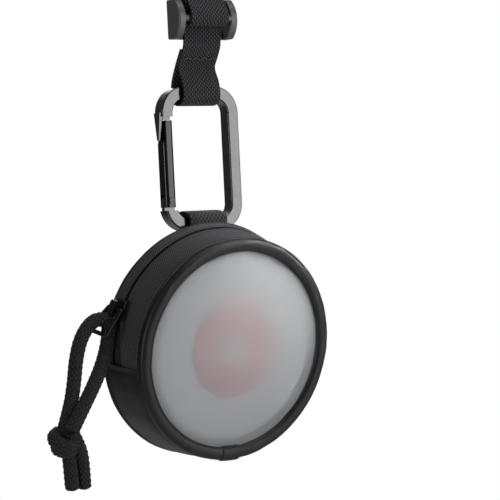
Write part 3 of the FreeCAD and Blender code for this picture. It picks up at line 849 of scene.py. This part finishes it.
class PAGER_OT_bindings(bpy.types.Operator):
    """The rolled leather edges at the front and the back, and the lapped end under the window"""
    bl_idname = "pager.bindings"
    bl_label = "Rolled edges"

    def execute(self, context):
        sizes = context.scene.pager_pouch
        skin = leather_paint()
        depth = sizes.roll_height / mm

        def roll(grow):
            outline = []
            for k in range(20):
                out, deep = (math.copysign(abs(part) ** 0.8, part)
                             for part in (math.cos(2 * math.pi * k / 20), math.sin(2 * math.pi * k / 20)))
                outline.append((front_roll_radius + (front_roll_half + grow) * out,
                                seam_y - depth / 2 - (depth / 2 + grow) * deep))
            return outline

        front = spun("front_roll", roll(0.0), 0, 360, 220)
        mend(front, 60)
        crease(front, sizes.crease_depth * 0.45, 5 * mm, 11.0)
        lap = spun("front_roll_lap", roll(0.34), -96, 11, 8)
        mend(lap, 60)
        take(lap)
        soften = lap.modifiers.new("soften", "BEVEL")
        soften.width, soften.segments, soften.limit_method = 0.3 * mm, 3, "ANGLE"
        apply_all(lap)
        bpy.ops.object.shade_smooth_by_angle(angle=math.radians(60))
        settle(at_pouch(front), "front_cover", "leather", skin, "front_binding")
        settle(at_pouch(lap), "front_cover", "leather", skin)

        back = [(rear_roll_radius + math.cos(t), 9.1 + 0.72 * math.sin(t)) for t in
                [2 * math.pi * k / 16 for k in range(16)]]
        rear = spun("rear_roll", back, 0, 360, 220)
        mend(rear, 60)
        crease(rear, sizes.crease_depth * 0.25, 6 * mm, 21.0)
        settle(at_pouch(rear), "pouch", "leather", skin, "rear_binding")
        return {"FINISHED"}


class PAGER_OT_back_panel(bpy.types.Operator):
    """The leather back panel, softly domed over its stiffener"""
    bl_idname = "pager.back_panel"
    bl_label = "Back panel"

    def execute(self, context):
        profile = [(0.0, 9.75), (8.0, 9.74), (16.0, 9.7), (24.0, 9.62), (30.0, 9.5), (33.6, 9.3), (35.3, 9.0),
                   (35.5, 8.75), (33.0, 8.7), (16.0, 8.7), (0.0, 8.7)]
        piece = spun("back_leather", profile, 0, 360, 120)
        mend(piece, 50)
        crease(piece, context.scene.pager_pouch.crease_depth * 0.3, 14 * mm, 31.0)
        settle(at_pouch(piece), "pouch", "leather", leather_paint(), "rear_panel")
        return {"FINISHED"}


class PAGER_OT_zip_tapes(bpy.types.Operator):
    """The zip's two woven tapes, with their turned edges by the teeth"""
    bl_idname = "pager.zip_tapes"
    bl_label = "Zip tapes"

    def execute(self, context):
        cloth = twill_paint()

        def outer(y):
            return 34.2 + (y - seam_y) * 0.18

        count = 14
        for name, y0, y1, body, node in (("front_tape", -6.6, 4.05, "front_cover", "front_zip_tape"),
                                         ("rear_tape", 4.95, 8.6, "pouch", "rear_zip_tape")):
            front = body == "front_cover"
            lip_y = y1 - 0.9 if front else y0 + 0.9
            skin = []
            for index in range(count + 1):
                y = y0 + (y1 - y0) * index / count
                lip = 0.28 * max(0, 1 - abs(y - lip_y) / 0.9)
                belly = 0.35 * math.sin(math.pi * index / count) if front else 0.15
                dip = 1.7 * max(0, 1 - (y + 6.6) / 1.3)
                skin.append((outer(y) + lip + belly - dip, y))
            inner = [(r - tape_thick, y) for r, y in skin]
            piece = spun(name, skin + inner[::-1], tape_from, tape_to - tape_from, 170)
            mend(piece, 50)
            polar_map(piece)
            settle(at_pouch(piece), body, "zip_tape", cloth, node)
        return {"FINISHED"}


class PAGER_OT_zip_teeth(bpy.types.Operator):
    """The zip's interlocked teeth, one side on each tape"""
    bl_idname = "pager.zip_teeth"
    bl_label = "Zip teeth"

    def execute(self, context):
        pitch = context.scene.pager_pouch.tooth_pitch
        nylon = moulded_paint("nylon_teeth", (0.02, 0.02, 0.021), 0.3, 0.5)
        radius = 34.55 * mm
        count = int(math.radians(tape_to - tape_from) * radius / pitch)
        for name, way, body, node in (("front_teeth", -1, "front_cover", "front_zip_coil"),
                                      ("rear_teeth", 1, "pouch", "rear_zip_coil")):
            put_down()
            bpy.ops.mesh.primitive_cube_add(size=1)
            tooth = bpy.context.object
            for vertex in tooth.data.vertices:
                head = vertex.co.y * way < 0
                vertex.co = Vector((vertex.co.x * (1.0 if head else 0.75) * mm, vertex.co.y * 1.7 * mm,
                                    vertex.co.z * (0.82 if head else 0.55) * mm))
            bpy.ops.object.mode_set(mode="EDIT")
            bpy.ops.mesh.select_all(action="SELECT")
            bpy.ops.mesh.bevel(offset=0.14 * mm, segments=1, affect="EDGES")
            bpy.ops.object.mode_set(mode="OBJECT")
            places = []
            for index in range(count):
                share = (index + (0.5 if way > 0 else 0)) / count
                angle = math.radians(tape_from) + math.radians(tape_to - tape_from) * share
                out = Matrix.Translation((radius, (zip_y + way * 0.62) * mm, 0))
                places.append(Matrix.Rotation(-angle, 4, "Y") @ out)
            row = joined(name, copied(tooth, places))
            settle(at_pouch(row), body, "zip_coil", nylon, node)
        return {"FINISHED"}


class PAGER_OT_window(bpy.types.Operator):
    """The window's smoke-grey film, held in the rolled edge"""
    bl_idname = "pager.window"
    bl_label = "Window"

    def execute(self, context):
        dome = context.scene.pager_pouch.window_dome / mm
        rim = 32.3
        front = [(rim * k / 12, -8.55 - dome * (1 - (k / 12) ** 2)) for k in range(13)]
        back = [(r, y + 0.3) for r, y in front]
        piece = spun("window", front + back[::-1], 0, 360, 120)
        mend(piece, 40)
        settle(at_pouch(piece), "front_cover", "clear_film", film_paint(), "window_film")
        return {"FINISHED"}


# ------------------------------------------------------------------ hardware and pager

def dress(material, *names):
    """Put a finish on frame pieces that keep their own shape."""
    for name in names:
        piece = frame["nodes"][name]
        for material_slot in piece.material_slots:
            material_slot.material = material
        if not piece.material_slots:
            piece.data.materials.append(material)


class PAGER_OT_hardware(bpy.types.Operator):
    """Finishes for the carabiner, gate, strap slider, zip slider and bail"""
    bl_idname = "pager.hardware"
    bl_label = "Hardware finishes"

    def execute(self, context):
        plating = tuple(context.scene.pager_colours.plating)
        dress(plated_paint("gunmetal_plating", plating, 0.14, 0.24), "carabiner_frame")
        dress(plated_paint("black_plating", (0.085, 0.085, 0.088), 0.1, 0.18), "gate", "gate_rivet")
        dress(plated_paint("black_enamel", (0.04, 0.04, 0.041), 0.18, 0.3, 0.6), "zip_slider", "pull_bail",
              "zip_stops")
        dress(plated_paint("bright_steel", (0.6, 0.6, 0.6), 0.2, 0.32), "gate_spring", "gate_plunger",
              "wire_antenna", "shell_screws", "battery_contact", "tact_switch", "coin_cell")
        dress(plated_paint("slider_plating", (0.22, 0.22, 0.225), 0.34, 0.46, 0.5), "strap_slider")
        return {"FINISHED"}


class PAGER_OT_pager(bpy.types.Operator):
    """Finishes for the pager's shells, button, sign and inner parts"""
    bl_idname = "pager.pager"
    bl_label = "Pager finishes"

    def execute(self, context):
        colours = context.scene.pager_colours
        dress(moulded_paint("white_plastic", tuple(colours.shell), 0.32, 0.42, 0.006), "pager_front_shell",
              "pager_rear_shell", "battery_cover")
        dress(moulded_paint("button_plastic", tuple(colours.button), 0.3, 0.4, 0.006), "call_button")
        dress(moulded_paint("sign_print", (0.92, 0.88, 0.88), 0.35, 0.45, 0.004), "button_symbol")
        dress(moulded_paint("black_moulding", (0.03, 0.03, 0.03), 0.4, 0.55), "switch_plunger",
              "battery_holder", "board_chips")
        dress(moulded_paint("seal_rubber", (0.04, 0.04, 0.04), 0.6, 0.75), "seal_ring")
        dress(moulded_paint("board_mask", (0.02, 0.16, 0.07), 0.3, 0.4), "circuit_board")
        dress(moulded_paint("led_lens", (0.8, 0.2, 0.15), 0.1, 0.15), "status_led")
        dress(moulded_paint("fibre_board", (0.05, 0.045, 0.04), 0.7, 0.9, 0.03), "rear_stiffener")
        dress(moulded_paint("lining_cloth", (0.03, 0.03, 0.03), 0.8, 0.95, 0.05), "rear_lining")
        return {"FINISHED"}


steps = (PAGER_OT_stage, PAGER_OT_pull, PAGER_OT_neck_strap, PAGER_OT_loop_webbing, PAGER_OT_hang_tab,
         PAGER_OT_gusset, PAGER_OT_bindings, PAGER_OT_back_panel, PAGER_OT_zip_tapes, PAGER_OT_zip_teeth,
         PAGER_OT_window, PAGER_OT_hardware, PAGER_OT_pager)


class PAGER_PT_pieces(bpy.types.Panel):
    """Sizes, colours and the operators that build the pieces"""
    bl_idname = "PAGER_PT_pieces"
    bl_label = "Call Pager"
    bl_space_type = "VIEW_3D"
    bl_region_type = "UI"
    bl_category = "Call Pager"

    def draw(self, context):
        for group in (context.scene.pager_cord, context.scene.pager_webbing, context.scene.pager_pouch,
                      context.scene.pager_colours):
            column = self.layout.column()
            for name in group.__annotations__:
                column.prop(group, name)
        for step in steps:
            self.layout.operator(step.bl_idname)


groups = {"pager_cord": CordSizes, "pager_webbing": WebbingSizes, "pager_pouch": PouchSizes,
          "pager_colours": PagerColours}


def register():
    for kind in (*groups.values(), *steps, PAGER_PT_pieces):
        bpy.utils.register_class(kind)
    for name, kind in groups.items():
        setattr(bpy.types.Scene, name, PointerProperty(type=kind))


def unregister():
    for name in groups:
        delattr(bpy.types.Scene, name)
    for kind in (PAGER_PT_pieces, *reversed(steps), *groups.values()):
        bpy.utils.unregister_class(kind)


def main():
    register()
    for step in steps:
        family, name = step.bl_idname.split(".")
        getattr(getattr(bpy.ops, family), name)()
    put_down()


if __name__ == "__main__":
    main()
